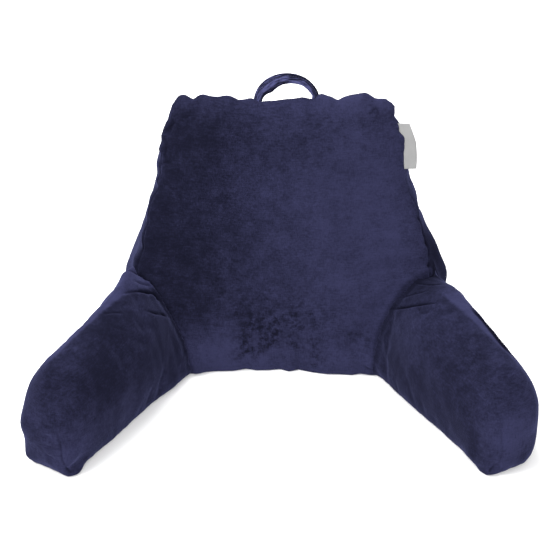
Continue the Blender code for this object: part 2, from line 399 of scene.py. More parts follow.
def lofted(bm, rows, closed):
    # faces between each row of points and the next
    for lower, upper in zip(rows, rows[1:]):
        for i in range(len(lower) if closed else len(lower) - 1):
            j = (i + 1) % len(lower)
            bm.faces.new((lower[i], lower[j], upper[j], upper[i]))


# where things are on the solids
farOut = 0.3  # from an arm's middle line, outside the arm
wellInside = 0.1  # behind the foot line, inside the back
solids = {name: solidCopy(name, name + "Solid") for name in ("back", "arm_left", "arm_right")}
trees = {name: treeOf(obj) for name, obj in solids.items()}

armFrames = {  # each arm's root from the back's middle and the foot line, and its splay in degrees
    "arm_left": {"side": -1, "root": (0.202, 0.032), "splay": 33.4, "piece": "armLeft"},
    "arm_right": {"side": 1, "root": (0.200, 0.032), "splay": 32.8, "piece": "armRight"},
}
seamSet = {
    "rows": (  # height, then the half width and the depth of the front side seam, and of the rear one
        (0.012, 0.246, 0.003, 0.256, 0.222),
        (0.076, 0.242, 0.028, 0.256, 0.226),
        (0.178, 0.224, 0.071, 0.227, 0.223),
        (0.279, 0.207, 0.110, 0.200, 0.211),
        (0.368, 0.198, 0.137, 0.192, 0.184),
        (0.414, 0.185, 0.152, 0.184, 0.165),
        (0.433, 0.176, 0.159, 0.176, 0.159),
    ),
    "heights": (0.012, 0.434, 0.006),  # from, up to and by
    "outside": 0.03,  # the edge is looked for from this far outside it
    "crest": (-0.176, 0.177, 0.005),
    "crestDepth": 0.159,
    "overCrest": 0.47,
}


def armAxes(name):
    arm = armFrames[name]
    angle = math.radians(arm["splay"])
    forward = Vector((arm["side"] * math.sin(angle), -math.cos(angle), 0))
    outward = Vector((arm["side"] * math.cos(angle), math.sin(angle), 0))
    root = Vector((middleX + arm["side"] * arm["root"][0], footLineY + arm["root"][1], 0))
    return root, forward, outward


def onArm(name, along, turn):
    # a point of the arm's surface: along it in mm, and round it in degrees from the inner side over the top
    root, forward, outward = armAxes(name)
    angle = math.radians(turn)
    away = up * math.sin(angle) - outward * math.cos(angle)
    middle = root + forward * along / 1000 + up * armMiddle
    hit = trees[name].ray_cast(middle + away * farOut, -away)[0]
    return hit or trees[name].find_nearest(middle)[0]


def onNose(name, across, height):
    # a point of the arm's front end, in mm outwards from its middle line and above the floor
    root, forward, outward = armAxes(name)
    start = root + forward + outward * across / 1000 + up * height / 1000
    return trees[name].ray_cast(start, -forward)[0]


def onBack(x, z):
    # a point of the front panel, in mm from the back's middle and above the floor
    start = Vector((middleX + x / 1000, -1, z / 1000))
    inside = Vector((start.x, footLineY + wellInside, start.z))
    return trees["back"].ray_cast(start, Vector((0, 1, 0)))[0] or trees["back"].find_nearest(inside)[0]


def onSide(side, depth, height):
    # a point of the left (-1) or right (1) side panel, in mm behind the foot line and above the floor
    start = Vector((side, footLineY + depth / 1000, height / 1000))
    return trees["back"].ray_cast(start, Vector((-side, 0, 0)))[0] or trees["back"].find_nearest(start)[0]


def sideSeam(side, rear=False):
    # looked for from outside the corner, so that it lands on the edge itself
    heights, table = np.arange(*seamSet["heights"]), np.array(seamSet["rows"])
    half = np.interp(heights, table[:, 0], table[:, 3 if rear else 1])
    depth = np.interp(heights, table[:, 0], table[:, 4 if rear else 2])
    away = Vector((side, 1 if rear else -1, 0)) * seamSet["outside"]
    points = [Vector((middleX + side * h, footLineY + d, z)) + away for h, d, z in zip(half, depth, heights)]
    return [trees["back"].find_nearest(p)[0] for p in points]


def crestSeam():
    depth, height = footLineY + seamSet["crestDepth"], seamSet["overCrest"]
    points = [Vector((middleX + x, depth, height)) for x in np.arange(*seamSet["crest"])]
    return [trees["back"].find_nearest(p)[0] for p in points]


def placesOn(line, axis, values):
    # how far along a line it has these heights, or these places across
    start = middleX if axis == 0 else 0
    return np.interp(np.array(values) / 1000 + start, np.array(line)[:, axis], lengthsOf(line))


def spotOn(line, axis, value):
    line, start = np.array(line), middleX if axis == 0 else 0
    return line[np.argmin(np.abs(line[:, axis] - value / 1000 - start))]


# padded pieces
swellSet = {
    "pressure": 4.0,
    "surplus": 0.012,
    "frames": 20,
    "quality": 6,
    "stiffness": 20,
    "pinned": 0.0045,  # the cloth is held this near a seam,
    "touching": 0.004,  # this near a sewn-on neighbour
    "standing": 0.0015,  # and this near the floor
    "slimmed": (0.004, 0.04),  # away from those, the skin starts out slimmer
    "freed": (0.005, 0.045),  # beside a neighbour it moves less
    "leastFreed": 0.25,
    "easing": 0.5,
    "fineReach": 0.006,  # this near a seam or fold the faces are made finer
}


def blownUp(obj, start, held, bending):
    # the cloth's points after the simulation
    s = swellSet
    setPoints(obj.data, start)
    group = obj.vertex_groups.new(name="held")
    group.add([int(i) for i in np.flatnonzero(held)], 1.0, "REPLACE")
    cloth = obj.modifiers.new("cloth", "CLOTH")
    cloth.settings.vertex_group_mass = "held"
    cloth.settings.quality = s["quality"]
    cloth.settings.use_pressure = True
    cloth.settings.uniform_pressure_force = s["pressure"]
    cloth.settings.shrink_min = -s["surplus"]
    cloth.settings.tension_stiffness = cloth.settings.compression_stiffness = s["stiffness"]
    cloth.settings.bending_stiffness = bending
    cloth.settings.effector_weights.gravity = 0
    cloth.point_cache.frame_end = s["frames"]
    for f in range(1, s["frames"] + 1):
        scene.frame_set(f)
    applied(obj)
    scene.frame_set(1)
    return pointsOf(obj.data)


def swell(obj, s, lines, neighbours):
    # the filling: a slightly smaller skin of even faces is blown up between its pinned seams
    remesh = obj.modifiers.new("evenFaces", "REMESH")
    remesh.mode = "VOXEL"
    remesh.voxel_size = s["voxel"]
    applied(obj)
    points, normals = pointsOf(obj.data), normalsOf(obj.data)
    toSeam = distanceToLines(points, lines)
    toOthers = np.min([distanceTo(trees[n], points) for n in neighbours], axis=0)
    held = (toSeam < swellSet["pinned"]) | (toOthers < swellSet["touching"])
    held |= points[:, 2] < swellSet["standing"]
    slimmer = s["inset"] * smooth(np.minimum(toSeam, toOthers), *swellSet["slimmed"])
    start = points - normals * slimmer[:, None]
    start[held] = points[held]
    start = aboveFloor(start)
    move = blownUp(obj, start, held, s["bending"]) - start
    far = np.linalg.norm(move, axis=1, keepdims=True)
    least = swellSet["leastFreed"]
    cap = s["cap"] * (least + (1 - least) * smooth(toOthers, *swellSet["freed"]))[:, None]
    points = start + move * np.minimum(1, cap / np.maximum(far, 1e-9))
    mean, most = (round(float(d) * 1000, 1) for d in (far.mean(), far.max()))
    print("  moved", mean, "mm, at most", most, "mm")
    setPoints(obj.data, points)
    eased = obj.modifiers.new("eased", "SMOOTH")
    eased.factor = swellSet["easing"]
    eased.iterations = s["eased"]
    applied(obj)
    return subdivided(obj)


def finerNear(obj, lines):
    # four times as many faces along seams and folds
    close = distanceToLines(pointsOf(obj.data), lines, reach=0.02) < swellSet["fineReach"]
    bm = bmesh.new()
    bm.from_mesh(obj.data)
    edges = [e for e in bm.edges if close[e.verts[0].index] and close[e.verts[1].index]]
    bmesh.ops.subdivide_edges(bm, edges=edges, cuts=1, use_grid_fill=True)
    old, obj.data = obj.data, meshFrom(bm, obj.name)
    bpy.data.meshes.remove(old)
    obj.data.shade_smooth()


creaseSet = {
    # each crease draws its own sizes from these ranges, most of them shares of its seam's
    "spaced": (0.5, 1.5),
    "wide": (0.0035, 0.0065),
    "long": (0.45, 1.3),
    "deep": (0.4, 1.2),
    "slant": (-0.5, 0.5),
    "roundness": 1.6,
    "lips": (0.35, 2.2),  # how high the cloth stands beside it, and how many widths away
    "rollWidth": 0.012,
    "slack": 0.85,  # how much looser a fading seam ends up
}


def drawnIn(points, normals, line, s, shade):
    # a sewn seam: a narrow valley, with creases that run out of it where the cloth is gathered
    c = creaseSet
    distance, place, spot, length = nearLine(points, line)
    lift = -s["depth"] * bell(distance, s["width"]) - s["roll"] * bell(distance, c["rollWidth"])
    chance = random.Random(s["seed"])
    at = s.get("creases")
    if at is None:
        count = int(length / s["spacing"])
        at = np.cumsum([s["spacing"] * chance.uniform(*c["spaced"]) for _ in range(count)])
    lip, lipAt = c["lips"]
    for where in at:
        wide = chance.uniform(*c["wide"])
        long = s["reach"] * chance.uniform(*c["long"])
        deep = s["crease"] * chance.uniform(*c["deep"])
        slant = chance.uniform(*c["slant"])
        off = np.abs(place - where - slant * distance) / (wide * (1 + distance / long))
        fade = np.exp(-((distance / long) ** c["roundness"]))
        lift += deep * fade * (lip * bell(off - lipAt, 1) - np.exp(-(off ** c["roundness"])))
    # painted shade in the seam's valley
    dark = s["shade"]
    if "fades" in s:  # only its first part is drawn tight
        tight = 1 - c["slack"] * smooth(place, *s["fades"])
        lift, dark = lift * tight, dark * tight
    shade[:] = np.maximum(shade, dark * bell(distance, s["line"]))
    return points + normals * lift[:, None]


foldSet = {"reach": 0.05, "end": 0.35, "openEnd": 0.55, "bulgeAt": 2.6, "bulgeWidth": 2.0}


def fold(depth, width, *path, shade=0.5, line=2.0, bulge=0.3, fromSeam=False):
    # one fold, listed: its depth and width in mm, its path, and how dark it is inside
    return {
        "depth": depth / 1000, "width": width / 1000, "path": path,
        "shade": shade, "line": line / 1000, "bulge": bulge, "fromSeam": fromSeam,
    }


def folded(points, normals, line, s, shade):
    # a trough, and below it the cloth bulges a little
    f = foldSet
    distance, place, spot, length = nearLine(points, line, f["reach"])
    ends = smooth(place, 0, length * f["end"]) * (1 - smooth(place, length * (1 - f["end"]), length))
    if s["fromSeam"]:  # runs out of a seam at full depth
        ends = 1 - smooth(place, length * f["openEnd"], length)
    below = np.where(points[:, 2] < spot[:, 2], 1.0, -1.0) * distance
    bulge = s["bulge"] * bell(below - f["bulgeAt"] * s["width"], f["bulgeWidth"] * s["width"])
    lift = s["depth"] * ends * (bulge - bell(distance, s["width"]))
    # painted shade in the fold's trough
    shade[:] = np.maximum(shade, s["shade"] * ends * bell(distance, s["line"]))
    return points + normals * lift[:, None]


def foldsOn(find, folds, *before):
    # each fold with its line laid on the solid
    return [(smoothLine([find(*before, *at) for at in f["path"]]), f) for f in folds]


def lumpy(points, normals, s):
    # the filling shows through as low lumps, with smaller ones between
    scale, finer, share = s["lumpScale"], 2.7, 0.4
    lift = [noise.noise(Vector(p) * scale) + noise.noise(Vector(p) * scale * finer) * share for p in points]
    return points + normals * (s["lump"] * np.array(lift))[:, None]


def pushed(points, pushes):
    # each push moves the cloth about a spot, less and less up to its radius
    for spot, move, radius in pushes:
        share = bell(np.linalg.norm(points - np.array(spot), axis=1), radius)
        points = points + share[:, None] * np.array(move)
    return points


def spotsOn(find, rows, *before):
    # rows of a place, a radius in mm and an amount, each place laid on the solid
    return [(find(*before, *at), radius / 1000, amount) for *at, radius, amount in rows]


def spread(points, start, spots):
    # a value that is the start all over, and more or less about each spot
    value = np.full(len(points), float(start))
    for spot, radius, amount in spots:
        value += amount * bell(np.linalg.norm(points - np.array(spot), axis=1), radius)
    return value


def finishPadded(obj, shade, napAndLight, smudged, material, node):
    keepAttribute(obj.data, "paintedShade", np.clip(shade, 0, 1))
    keepAttribute(obj.data, "napAndLight", napAndLight)
    keepAttribute(obj.data, "smudged", smudged)
    obj.data.materials.clear()
    obj.data.materials.append(material)
    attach(obj, "root")
    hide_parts(node)
    print(obj.name, len(obj.data.polygons), "faces")


# the back cushion: places in mm from the back's middle and above the floor, or on a side panel
# its side, the mm behind the foot line and above the floor
backSet = {
    "voxel": 0.0055,
    "inset": 0.006,
    "cap": 0.012,
    "bending": 0.5,
    "eased": 2,
    "lump": 0.0018,
    "lumpScale": 13.0,
    "fill": 0.85,
    "seam": {
        "depth": 0.0024, "width": 0.0034, "roll": 0.0010, "reach": 0.024,
        "crease": 0.0030, "shade": 0.5, "line": 0.0024,
    },
    "rearSeam": {"spacing": 0.030},
    "crest": {"depth": 0.0014, "roll": 0.0, "crease": 0.0036, "shade": 0.4, "seed": 5},
    "seeds": (12, 22),  # of the front and the rear side seams
    "sideCreases": {
        -1: (30, 60, 105, 150, 196, 238, 262, 290, 318, 345, 368, 384, 397),
        1: (28, 70, 120, 170, 205, 244, 280, 306, 390, 405),
    },
    "crestCreases": (-148, -104, -70, -40, 86, 151, 168),
    "crestPuffs": (  # place across, how far up, and the radius
        (-174, 5, 13), (-160, 5, 14), (-142, 4, 12), (-126, 7, 14), (-112, 6, 11), (-88, 2, 14),
        (-72, 3, 9), (-57, 2, 14), (34, 6, 12), (48, 7, 11), (63, 6, 12), (77, 3, 12),
        (104, 4, 14), (124, 4, 14), (142, 6, 16), (152, 2, 10), (162, 1, 10),
    ),
    "sidePuffs": {  # height, how far out, and the radius
        -1: (
            (408, -2, 12), (384, 3, 14), (360, 2, 12), (342, -3, 14), (318, -3, 18),
            (292, -2, 16), (255, 9, 40), (190, 10, 45),
        ),
        1: (
            (422, -3, 10), (404, -3, 9), (397, 1, 8), (388, -1, 8), (355, 1, 14), (322, -4, 18),
            (296, -3, 16), (244, 9, 36), (200, 12, 36), (168, 8, 26),
        ),
    },
    "gussetPushes": (  # place, how far out, back and up, and the radius
        (1, 150, 128, 4, 0, 0, 26), (1, 150, 98, 10, 0, 0, 28), (-1, 155, 102, 5, 0, 3, 26),
        (1, 168, 145, 3, 0, 0, 26), (1, 200, 285, -6, 0, 0, 36), (1, 195, 345, -10, 0, 0, 32),
        (1, 190, 318, -5, 0, 0, 22), (1, 170, 395, -7, 0, 0, 25), (1, 125, 224, -5, 0, 0, 28),
        (1, 150, 195, -5, 0, 0, 28),
    ),
    # the front panel's lower edge, how far it stands back at places across it
    "footWave": (
        (-250, 0), (-160, -3), (-137, -8), (-109, -6), (-84, -5), (-62, 0), (-44, -5), (-24, -4),
        (-5, -1), (10, -6), (26, -1), (47, -8), (73, -14), (115, -18), (138, -7), (250, -8),
    ),
    "footWaveHeight": 0.07,
    "footWaveFaces": 0.2,  # and only where the cloth faces forward of this
    "rise": {"height": 0.0040, "width": 0.012},  # how the cloth rises to a sewn-on arm
    "joint": {"shade": 0.30, "line": 0.0018},
    "rim": {"heights": (0.405, 0.436), "lighter": 0.20},  # painted light along the crest, where the cloth turns up to the light from above
    "napAndLight": 0.72,
    # the front panel is darker toward its left: place across it, and by how much
    "lean": (
        (-215, -0.62), (-170, -0.56), (-110, -0.42), (-60, -0.30), (0, -0.14), (60, -0.04),
        (120, 0), (180, -0.04), (230, -0.16),
    ),
    "leanFoot": (0.035, 0.120),  # and evenly light along its foot, up to these heights
    "leanFaces": (-0.3, 0.1),  # it ends where the cloth turns to the rear
    "napAndLightSpots": (  # spots of the nap's tone, with painted light and shade: place, radius, and how much lighter
        (-70, 240, 60, -0.06), (-100, 320, 40, -0.05), (20, 395, 55, -0.16), (-60, 395, 50, -0.14),
        (70, 390, 40, -0.12), (120, 250, 60, 0.10), (185, 300, 60, 0.12), (200, 200, 50, 0.12),
        (205, 110, 26, -0.10), (-165, 388, 30, -0.14), (-110, 40, 45, 0.28), (-40, 12, 40, 0.22),
        (70, 20, 50, 0.06), (165, 60, 30, -0.14), (-108, 395, 34, -0.14), (-90, 106, 30, 0.16),
        (-11, 132, 34, 0.12), (152, 414, 32, -0.20), (140, 110, 60, 0.08),
    ),
    # painted light and shade on the side panels: place, radius, and how much lighter
    "gussetLightAndShade": ((-1, 130, 160, 60, -0.10), (1, 150, 250, 60, -0.3), (-1, 147, 116, 24, 0.30)),
    "gussetShade": (  # painted shade on the side panels, mostly on the right one, which is turned away from the light: place, radius, and how strong
        (1, 115, 240, 26, 0.5), (1, 90, 205, 32, 0.6), (1, 85, 165, 34, 0.6), (1, 80, 120, 34, 0.5),
        (1, 135, 195, 34, 0.5), (1, 135, 150, 34, 0.5), (1, 130, 105, 34, 0.4), (1, 180, 150, 34, 0.4),
        (1, 175, 100, 34, 0.55), (-1, 175, 90, 16, 0.3),
    ),
    "gussetEdge": (0.001, 0.006),  # how far behind the front seam that begins
    "smudges": (  # place, radius, and how strong
        (-50, 66, 36, 0.75), (-22, 86, 44, 0.40), (-62, 34, 28, 0.40), (14, 58, 46, 0.45),
        (46, 84, 44, 0.30), (-85, 98, 40, 0.15), (130, 60, 30, 0.35), (-150, 44, 30, 0.25),
        (20, 120, 46, 0.15), (-110, 150, 50, 0.15), (60, 30, 34, 0.35), (80, 380, 50, 0.20),
    ),
    "folds": (
        fold(3.0, 4.0, (-196, 398), (-178, 400), (-160, 392), fromSeam=True),
        fold(2.2, 4.0, (-203, 358), (-188, 362), (-172, 360), fromSeam=True),
        fold(2.6, 4.0, (-204, 330), (-190, 338), (-178, 340), fromSeam=True),
        fold(1.6, 5.0, (-208, 286), (-194, 298), (-184, 306), fromSeam=True),
        fold(2.2, 5.0, (196, 385), (184, 392), (172, 402), fromSeam=True),
        fold(2.0, 4.0, (152, 440), (150, 424), (156, 410), fromSeam=True),
        fold(2.4, 5.0, (118, 26), (140, 16), (158, 12)),
    ),
}


def backPushes(sides, crest):
    # the puffs along the seams and the pushes on the side panels
    s = backSet
    pushes = []
    for x, rise, radius in s["crestPuffs"]:
        pushes.append((spotOn(crest, 0, x), (0, 0, rise / 1000), radius / 1000))
    for side, puffs in s["sidePuffs"].items():
        for height, out, radius in puffs:
            pushes.append((spotOn(sides[side], 2, height), (side * out / 1000, 0, 0), radius / 1000))
    for side, depth, height, out, back, rise, radius in s["gussetPushes"]:
        move = (side * out / 1000, back / 1000, rise / 1000)
        pushes.append((onSide(side, depth, height), move, radius / 1000))
    return pushes


def backNap(points, normals):
    # how light the nap is, with painted light and shade in spots and painted light along the crest
    s = backSet
    napAndLightSpots = spotsOn(onBack, s["napAndLightSpots"]) + spotsOn(onSide, s["gussetLightAndShade"])
    napAndLight = spread(points, s["napAndLight"], napAndLightSpots)
    table = np.array(s["lean"])
    lean = np.interp(points[:, 0] - middleX, table[:, 0] / 1000, table[:, 1])
    napAndLight += lean * smooth(points[:, 2], *s["leanFoot"]) * smooth(-normals[:, 1], *s["leanFaces"])
    # painted light along the crest
    return napAndLight + s["rim"]["lighter"] * smooth(points[:, 2], *s["rim"]["heights"])


def makeBack():
    s = backSet
    sides = {side: sideSeam(side) for side in (-1, 1)}
    rears = {side: sideSeam(side, True) for side in (-1, 1)}
    crest = crestSeam()
    folds = foldsOn(onBack, s["folds"])
    seams = [*sides.values(), *rears.values(), crest]
    obj = swell(solidCopy("back", "backCushion"), s, seams, ("arm_left", "arm_right"))
    finerNear(obj, [*sides.values(), crest, *(line for line, f in folds)])
    points, normals = pointsOf(obj.data), normalsOf(obj.data)
    shade = np.zeros(len(points))
    points = lumpy(points, normals, s)
    frontSeed, rearSeed = s["seeds"]
    for side in (-1, 1):
        creases = placesOn(sides[side], 2, s["sideCreases"][side])
        front = {**s["seam"], "creases": creases, "seed": frontSeed + side}
        rear = {**s["seam"], **s["rearSeam"], "seed": rearSeed + side}
        points = drawnIn(points, normals, sides[side], front, shade)
        points = drawnIn(points, normals, rears[side], rear, shade)
    creases = placesOn(crest, 0, s["crestCreases"])
    points = drawnIn(points, normals, crest, {**s["seam"], **s["crest"], "creases": creases}, shade)
    for line, f in folds:
        points = folded(points, normals, line, f, shade)
    toArms = np.minimum(distanceTo(trees["arm_left"], points), distanceTo(trees["arm_right"], points))
    points += normals * (s["rise"]["height"] * bell(toArms, s["rise"]["width"]))[:, None]
    # painted shade where the arms meet the cushion
    shade = np.maximum(shade, s["joint"]["shade"] * bell(toArms, s["joint"]["line"]))
    points = pushed(points, backPushes(sides, crest))
    wave = np.array(s["footWave"]) / 1000
    front = (normals[:, 1] < s["footWaveFaces"]) * (1 - smooth(points[:, 2], 0, s["footWaveHeight"]))
    points[:, 1] += np.interp(points[:, 0] - middleX, wave[:, 0], wave[:, 1]) * front
    points = aboveFloor(points)
    setPoints(obj.data, points)
    rows = np.array(seamSet["rows"])
    behind = points[:, 1] - footLineY - np.interp(points[:, 2], rows[:, 0], rows[:, 2])
    # painted shade on the side panels
    shade = shade + spread(points, 0, spotsOn(onSide, s["gussetShade"])) * smooth(behind, *s["gussetEdge"])
    smudged = spread(points, 0, spotsOn(onBack, s["smudges"]))
    finishPadded(obj, shade, backNap(points, normals), smudged, velour("backVelour"), "back")
    return obj


# the arms: places by mm along the arm and degrees round it, on the nose by mm outwards and up
armSet = {
    "voxel": 0.005,
    "inset": 0.003,
    "cap": 0.007,
    "bending": 0.5,
    "eased": 4,
    "lump": 0.0020,
    "lumpScale": 15.0,
    "fill": 0.8,
    "gap": 0.0005,
    "cleared": 0.03,  # how far from the back the arm is kept clear of it
    "rim": 0.010,  # and how far its edge is evened out
    "evenedIn": (8, 3, 2),
    "plump": {"height": 0.0022, "width": 0.009},  # the rim is filled hard against the back
    "joint": {"shade": 0.55, "line": 0.0024, "width": 0.010},
    "seam": {
        "depth": 0.0013, "width": 0.0024, "roll": 0.0005, "reach": 0.016, "crease": 0.0012,
        "spacing": 0.036, "line": 0.0015, "fades": (0.05, 0.13),
    },
    # the light strip is a painted highlight where the outer panel turns up to the light
    "strip": {"heights": (0.07, 0.10), "lighter": 0.62, "ends": (0.235, 0.31)},
    # the painted shade of the sliver fades over these degrees round the arm, and over these places along it
    "sliver": {
        "shade": 0.95, "edge": (-0.5, 1.5), "fades": (5, 17),
        "starts": (0.100, 0.145), "ends": (0.225, 0.275),
    },
    "footEdge": 0.030,  # the height of the painted light along the inner panel's lower edge, which light from the floor reaches
}
armDetail = {
    "arm_left": {
        "seam": (
            (326, -44), (333, -39), (332, -12), (332, 28), (324, 60), (305, 84),
            (270, 98), (200, 103), (119, 103), (60, 106), (-5, 113),
        ),
        "seamLooks": {"shade": 0.50, "seed": 39},
        "folds": (
            fold(
                4.6, 3.0, (-12, 88), (5, 95), (22, 97), (49, 98), (100, 103),
                shade=1.0, line=2.6, fromSeam=True,
            ),
            fold(2.8, 2.8, (-10, 57), (20, 66), (46, 73), (74, 80), shade=0.9, fromSeam=True),
            fold(1.6, 3.0, (140, 99), (126, 92), (108, 84), shade=0.6),
            fold(3.6, 3.0, (-10, 112), (9, 115), (34, 116), shade=0.8, fromSeam=True),
            fold(1.8, 3.0, (0, 104), (18, 105), (36, 108), shade=0.4, fromSeam=True),
            fold(2.0, 6.0, (142, 68), (124, 56), (96, 42), shade=0.2),
            fold(1.6, 7.0, (112, 66), (88, 62), (60, 55), shade=0.15),
            fold(1.4, 5.0, (150, 84), (138, 74), (120, 68), shade=0.2),
        ),
        "noseFolds": (
            fold(1.8, 4.6, (-6, 117), (-26, 115), bulge=0.6, shade=0.15),
            fold(2.4, 4.6, (-10, 98), (-22, 96), (-37, 93), bulge=0.6, shade=0.35),
            fold(1.8, 4.6, (-12, 78), (-34, 76), bulge=0.6, shade=0.10),
            fold(1.8, 4.6, (-14, 58), (-36, 57), bulge=0.6, shade=0.15),
            fold(2.0, 4.6, (-14, 38), (-36, 36), bulge=0.6, shade=0.25),
            fold(3.0, 3.0, (-50, 24), (-60, 14), (-66, 6), shade=0.9),
        ),
        "pushes": (  # place, how far forward, outward and up, and the radius
            (0, 122, 0, 6, 4, 30), (22, 115, 0, 7, 2, 16), (60, 114, 0, 3, 2, 40), (300, 125, 0, 1, 1, 45),
            (338, 155, 6, 5, 0, 26), (331, -46, 0, 3, 0, 9), (320, -38, -1, 12, 0, 12),
            (307, -35, 0, 5, 0, 12), (336, -107, 4, 6, 0, 16), (-8, 115, 0, 0, -12, 18),
            (50, -44, 0, -5, 0, 32),
        ),
        "strip": (0.013, 0.020),  # how far out of the arm's middle it starts
        "stripStarts": (-0.030, 0.0),
        "outerPanel": (),
        # painted shade: place, radius, and how strong
        "dull": ((250, -30, 40, 0.15),),
        "napAndLight": 0.27,
        "footEdge": 0.10,
        "jointPaintedShade": 0.12,
        # spots of the nap's tone, with painted light and shade: place, radius, and how much lighter
        "napAndLightSpots": (
            (223, 47, 42, -0.18), (140, 75, 40, -0.12), (300, 30, 40, 0.10), (338, 80, 36, 0.10),
            (260, -10, 36, 0.08), (180, 20, 30, 0.02), (20, 60, 45, -0.30), (20, 95, 40, -0.22),
            (60, 20, 40, -0.24), (120, 10, 40, -0.12), (250, 92, 30, 0.12), (330, -30, 34, 0.38),
            (336, -80, 34, 0.20), (300, -20, 30, 0.14), (48, 102, 22, -0.18), (150, 114, 60, -0.10),
        ),
        "shift": (3.1, 0.4, 1.7),
    },
    "arm_right": {
        "seam": (
            (324, -44), (329, -40), (326, 3), (318, 42), (308, 66), (285, 90),
            (262, 104), (177, 115), (100, 116), (0, 116),
        ),
        "seamLooks": {"shade": 0.22, "depth": 0.0008, "seed": 40},
        "folds": (
            fold(
                3.6, 2.8, (-12, 60), (21, 74), (50, 81), (85, 91), (112, 98),
                shade=1.0, line=2.4, fromSeam=True,
            ),
            fold(2.6, 3.0, (-10, 84), (22, 94), (50, 100), shade=0.7, fromSeam=True),
            fold(1.4, 4.0, (48, 84), (76, 76), (96, 86), shade=0.3),
            fold(2.0, 3.0, (0, 106), (24, 108), (46, 114), shade=0.5, fromSeam=True),
            fold(1.4, 6.0, (150, 60), (168, 50), (190, 52), shade=0.15),
        ),
        "noseFolds": (
            fold(2.2, 3.0, (-52, 20), (-62, 9), shade=0.7),
            fold(1.0, 4.0, (-30, 52), (-44, 46), shade=0.2),
        ),
        "pushes": (
            (70, 118, 0, 3, 1, 45), (200, 115, 0, 2, 1, 45), (320, 110, 3, 4, 0, 45),
            (326, -44, -4, 5, 0, 11), (312, -40, 0, 6, 0, 12), (285, -38, 0, -4, 0, 22),
            (331, -85, 3, 2, 0, 14), (110, -44, 0, -4, 0, 50), (14, 119, 0, -4, -12, 30),
            (-12, 121, 0, 0, -14, 20), (48, 117, 0, 0, -3, 26), (-8, 95, 0, 0, -6, 24),
        ),
        "strip": (0.019, 0.027),
        "stripStarts": (0.040, 0.100),
        # the outer panel, turned away from the light, gets painted shade as a dark sliver outside this line
        "outerPanel": (
            (100, 116), (120, 112.5), (140, 110), (160, 109), (180, 108),
            (200, 106.5), (220, 105), (236, 104), (250, 105), (275, 109),
        ),
        # painted shade: place, radius, and how strong
        "dull": (
            (75, -25, 40, 0.20), (145, -25, 45, 0.22), (215, -30, 45, 0.22), (-6, 124, 15, 0.70),
            (6, 127, 17, 0.70), (12, 112, 22, 0.30), (30, 100, 24, 0.20),
        ),
        "napAndLight": 0.34,
        "footEdge": 0.06,
        "jointPaintedShade": 0.0,
        # spots of the nap's tone, with painted light and shade: place, radius, and how much lighter
        "napAndLightSpots": (
            (262, 90, 28, 0.16), (334, 40, 50, 0.18), (8, 40, 50, -0.12), (60, -6, 45, -0.26),
            (140, -10, 45, -0.28), (230, -20, 45, -0.30), (290, -25, 36, -0.18), (220, 40, 45, -0.04),
            (20, 85, 40, -0.12), (10, 115, 36, -0.35), (330, 100, 45, 0.14), (328, 0, 40, 0.34),
            (330, -50, 34, 0.26),
        ),
        "shift": (7.4, 2.2, 5.1),
    },
}


def keepClear(points, tree, gap, chosen):
    # nothing of the arm goes into the finished cushion
    moved = points.copy()
    for i in np.flatnonzero(chosen):
        spot, normal = tree.find_nearest(points[i])[:2]
        if (Vector(points[i]) - spot).dot(normal) < gap:
            moved[i] = spot + normal * gap
    return moved


def evened(obj, points, chosen, rounds):
    # some of a mesh's points moved halfway to the mean of their neighbours
    edges = np.array([e.vertices[:] for e in obj.data.edges])
    edges = edges[chosen[edges].any(axis=1)]
    for _ in range(rounds):
        total, count = np.zeros_like(points), np.zeros(len(points))
        for a, b in ((0, 1), (1, 0)):
            np.add.at(total, edges[:, a], points[edges[:, b]])
            np.add.at(count, edges[:, a], 1)
        moved = points.copy()
        moved[chosen] = 0.5 * points[chosen] + 0.5 * total[chosen] / count[chosen][:, None]
        points = moved
    return points


def armNap(name, points, toBack, shade):
    # how light the nap is, with painted light and shade, and where the painted shade falls
    s, detail = armSet, armDetail[name]
    root, forward, outward = (np.array(v) for v in armAxes(name))
    across, along = (points - root) @ outward, (points - root) @ forward
    # painted shade along the joint with the back
    shade = np.maximum(shade, s["joint"]["shade"] * bell(toBack, s["joint"]["line"]))
    # painted shade in spots
    shade = shade + spread(points, 0, spotsOn(onArm, detail["dull"], name))
    napAndLight = spread(points, detail["napAndLight"], spotsOn(onArm, detail["napAndLightSpots"], name))
    # painted highlight on the outer strip
    share = smooth(along, *detail["stripStarts"]) * (1 - smooth(along, *s["strip"]["ends"]))
    share *= smooth(points[:, 2], *s["strip"]["heights"])
    napAndLight += s["strip"]["lighter"] * smooth(across, *detail["strip"]) * share
    # painted light along the inner lower edge, lit from the floor
    napAndLight += detail["footEdge"] * (1 - smooth(points[:, 2], 0, s["footEdge"])) * (across < 0)
    # the inner panel is painted darker beside the back, as shade
    inside = across < detail["strip"][0]
    napAndLight -= detail["jointPaintedShade"] * bell(toBack, s["joint"]["width"]) * inside
    # painted shade on the outer panel
    if detail["outerPanel"]:
        sliver = s["sliver"]
        places, turns = np.array(detail["outerPanel"]).T
        turn = np.degrees(np.arctan2(points[:, 2] - armMiddle, -across))
        past = turn - np.interp(along * 1000, places, turns)
        dark = smooth(past, *sliver["edge"]) * (1 - smooth(past, *sliver["fades"]))
        dark *= smooth(along, *sliver["starts"]) * (1 - smooth(along, *sliver["ends"]))
        shade += sliver["shade"] * dark
    return napAndLight, shade


